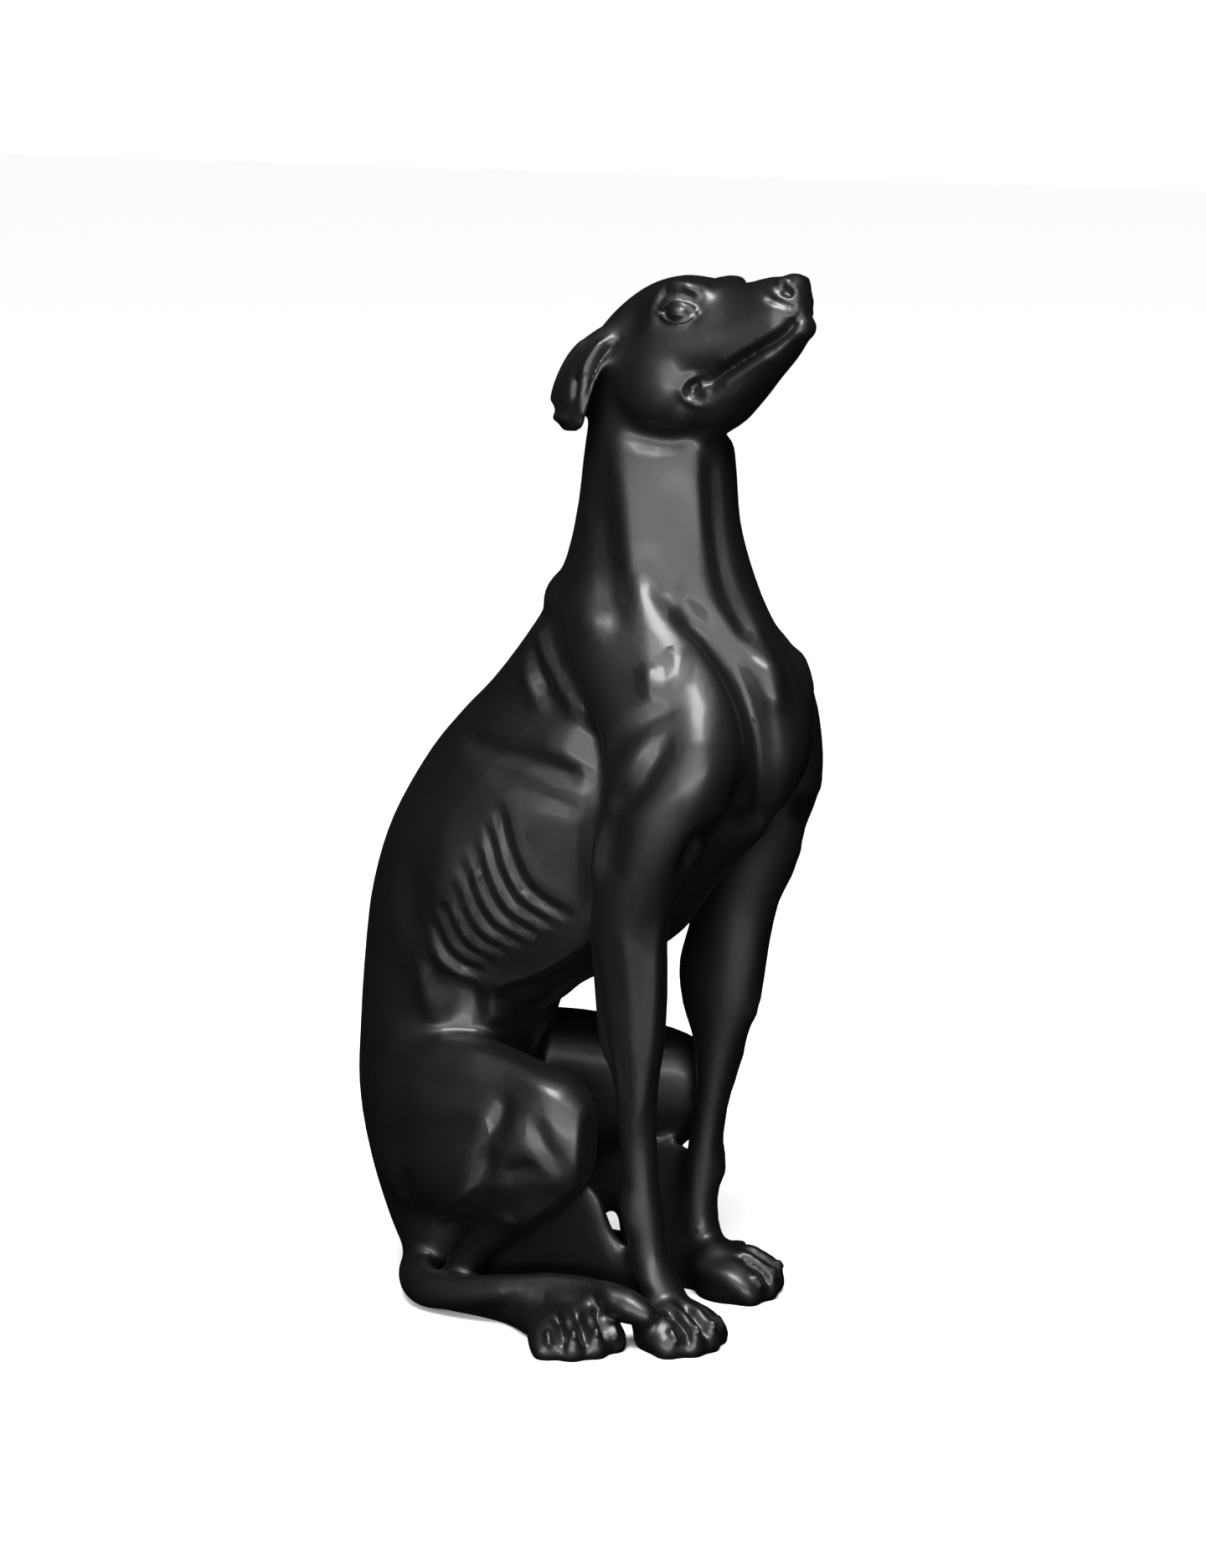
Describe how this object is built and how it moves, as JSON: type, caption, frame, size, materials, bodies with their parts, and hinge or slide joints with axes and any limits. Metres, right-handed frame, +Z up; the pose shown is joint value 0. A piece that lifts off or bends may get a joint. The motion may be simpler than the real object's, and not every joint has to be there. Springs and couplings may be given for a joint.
{
  "type": "seated greyhound statue",
  "caption": "Seated greyhound in black glazed ceramic, head lifted and turned a little to its right, forelegs straight, tail laid round to the fore.",
  "frame": {"origin": "centre of the bounding box, at the level of the floor the soles stand on", "axes": "+Z up; the dog faces -Y, and its own left is +X"},
  "size_m": [0.2768, 0.3938, 0.7786],
  "materials": {
    "greyhound": "black satin glaze"
  },
  "bodies": {
    "root": {"greyhound": "greyhound"}
  },
  "joints": []
}
